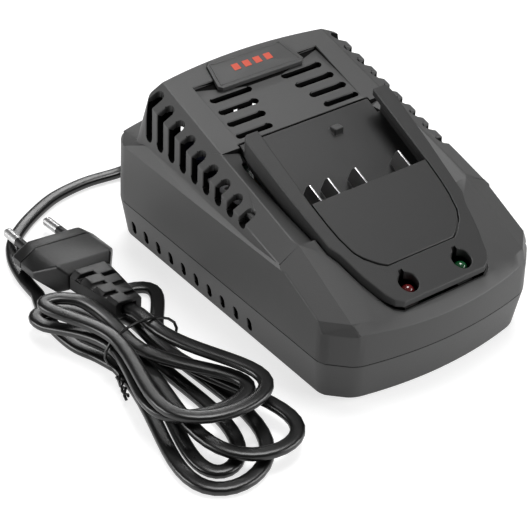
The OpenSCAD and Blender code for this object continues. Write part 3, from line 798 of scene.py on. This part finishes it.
def contact_cover():
    """A plate under the rails' slope, with an eased upper rim and a drawn-round front."""
    outline = mirrored(rounded(COVER_HALF))
    tops = [(x, y, rail_at(y)) for x, y in outline]
    mesh = bpy.data.meshes.new("contact_cover_skin")
    bm = bmesh.new()
    upper = [bm.verts.new(Vector(p) * MM) for p in tops]
    lower = [bm.verts.new((Vector(p) - UP * COVER_THICK) * MM) for p in tops]
    cap = bm.faces.new(upper)
    bm.faces.new(list(reversed(lower)))
    for k in range(len(outline)):
        n = (k + 1) % len(outline)
        bm.faces.new((upper[n], upper[k], lower[k], lower[n]))
    bmesh.ops.recalc_face_normals(bm, faces=bm.faces)
    bmesh.ops.bevel(
        bm,
        geom=list(cap.edges),
        offset=COVER_EDGE * MM,
        offset_type="OFFSET",
        segments=3,
        profile=0.5,
        affect="EDGES",
        clamp_overlap=False,
    )
    bm.to_mesh(mesh)
    bm.free()
    mesh.materials.append(DOCK)
    o = new_object("contact_cover_skin", mesh)
    select_only(o)
    bpy.ops.object.shade_smooth_by_angle(angle=math.radians(30))
    clear_selection()
    for p in mesh.polygons:
        if p.area > BROAD_FACE:
            p.use_smooth = False
    return o


cover = contact_cover()
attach(cover, "root")
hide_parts("contact_cover")

# ---------------------------------------------------------------- the name plate's rim

PLATE_RISE = 0.7
# Distance in from the plate's edge, and height over its face
RIM_SECTION = ((1.2, -0.1), (1.3, 0.22), (1.6, 0.22), (1.7, -0.1))


def plate_outline(g):
    """The plate's eight corners, moved out by g."""
    return [
        (-20 - g, 40), (-18.6 - g, 38.6 - g), (18.6 + g, 38.6 - g), (20 + g, 40),
        (17.6 + g, 50.6), (16 + g, 51.9 + g), (-16 - g, 51.9 + g), (-17.6 - g, 50.6),
    ]


def plate_rim():
    """The fine raised line that runs round inside the edge of the name plate."""
    sweeps = [
        [Vector((x, y, deck_at(y) + PLATE_RISE + rise)) * MM for x, y in plate_outline(-inset)]
        for inset, rise in RIM_SECTION
    ]
    return lofted("plate_rim", list(zip(*sweeps)), PLATE, joined=True)


rim = plate_rim()
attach(rim, "root")

# ---------------------------------------------------------------- the apron's lip

# The right half of the apron's edge, from the middle of the front to the rail
APRON_HALF = [
    (18.5, -69.5), (21.4, -67.8), (23.4, -64.6), (26.7, -55.6), (29.1, -46), (31, -42),
    (31.35, -38),
]
APRON_FRONT = -66
# Distance out from that edge, and depth under the front slope
LIP_SECTION = ((-0.15, 0.35), (0.33, 0.35), (0.33, 1.4), (-0.15, 1.4))


def apron_lip():
    """Closes the joint between the dock's apron and the housing."""
    rings = []
    for x, y in [(-x, y) for x, y in reversed(APRON_HALF)] + APRON_HALF:
        ring = []
        for out, drop in LIP_SECTION:
            lip_y = y - out if y < APRON_FRONT else y
            lip_x = x + out if x > 0 else x - out
            ring.append(Vector((lip_x, lip_y, slope_at(lip_y) - drop)) * MM)
        rings.append(ring)
    return lofted("apron_lip", rings, DOCK)


lip = apron_lip()
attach(lip, "root")

# ---------------------------------------------------------------- fittings

FITTINGS = {
    "terminal_block": BLACK,
    "led_red": RED_LENS,
    "led_green": GREEN_LENS,
    "led_holders": BLACK,
    "main_board": LAMINATE,
    "transformer_core": FERRITE,
    "transformer_winding": SHADED_COIL,
    "mains_capacitor": SLEEVE,
    "output_capacitors": SLEEVE,
    "heat_sink": FIN,
    "power_transistor": BLACK,
    "line_choke": SHADED_COIL,
    "fuse": CERAMIC,
    "bridge_rectifier": BLACK,
    "control_chip": BLACK,
    "mains_leads": SHADED_WIRE,
    "housing_screws": SCREW,
    "rubber_feet": RUBBER,
    "cord_clamp": BLACK,
}
for node, material in FITTINGS.items():
    for s in nodes[node].material_slots:
        s.material = material

sum((b - a).length for a, b in zip(lead_line, lead_line[1:]))

# ---------------------------------------------------------------- floor and light

FLOOR_HALF = 6.0
FLOOR_DROP = 0.2 * MM
FLOOR_GREY = 0.5
FLOOR_LIFT = 0.7
WORLD_STRENGTH = 0.15
WHITE = (1, 1, 1, 1)


def ray_share(board):
    """1 on the rays that the eye, metal and glass see by, 0 on those that light the object."""
    camera_ray, glossy_ray, transmission_ray = (
        board.node("ShaderNodeLightPath", out=kind)
        for kind in ("Is Camera Ray", "Is Glossy Ray", "Is Transmission Ray")
    )
    return camera_ray.or_more(glossy_ray).or_more(transmission_ray)


def pale_floor():
    """A matt floor that keeps the shadow, lifted to white where it is seen."""
    material = bpy.data.materials.new("pale floor")
    board = Board(material)
    matt = board.node("ShaderNodeBsdfDiffuse", None, {0: (FLOOR_GREY, FLOOR_GREY, FLOOR_GREY, 1)})
    lift = ray_share(board) * FLOOR_LIFT
    glow = board.node("ShaderNodeEmission", None, {"Color": WHITE, "Strength": lift})
    both = board.node("ShaderNodeAddShader", None, {0: matt, 1: glow})
    board.node("ShaderNodeOutputMaterial", None, {0: both})
    return material


h = FLOOR_HALF
floor_mesh = bpy.data.meshes.new("floor")
floor_mesh.from_pydata([(-h, -h, 0), (h, -h, 0), (h, h, 0), (-h, h, 0)], [], [(0, 1, 2, 3)])
floor_mesh.materials.append(pale_floor())
floor = new_object("floor", floor_mesh)
floor.location = (0, 0, -FLOOR_DROP)

world = bpy.data.worlds.new("studio")
bpy.context.scene.world = world
sky = Board(world)
backdrop = sky.node("ShaderNodeBackground", None, {"Color": WHITE, "Strength": WORLD_STRENGTH})
sky.node("ShaderNodeOutputWorld", None, {0: backdrop})


def softbox(name, at, aim, size, watts):
    """A rectangular lamp turned towards a spot."""
    light = bpy.data.lights.new(name, "AREA")
    light.shape = "RECTANGLE"
    light.size, light.size_y = size
    light.energy = watts
    o = bpy.data.objects.new(name, light)
    bpy.context.scene.collection.objects.link(o)
    turned = (Vector(aim) - Vector(at)).normalized().to_track_quat("-Z", "Y")
    o.matrix_world = Matrix.Translation(Vector(at)) @ turned.to_matrix().to_4x4()


softbox("left box", (-1.25, 0.6, 0.42), (0, 0, 0.02), (0.8, 0.7), 14.5)
softbox("front right box", (1.0, -0.95, 0.45), (0, 0, 0.02), (1.1, 0.9), 17.5)
softbox("top box", (0.25, 0.2, 1.3), (0, 0, 0), (0.6, 0.6), 11.5)
softbox("rear box", (0.6, 1.1, 0.8), (0, 0, 0.02), (0.5, 0.2), 4.0)

bpy.context.scene.view_settings.view_transform = "Standard"
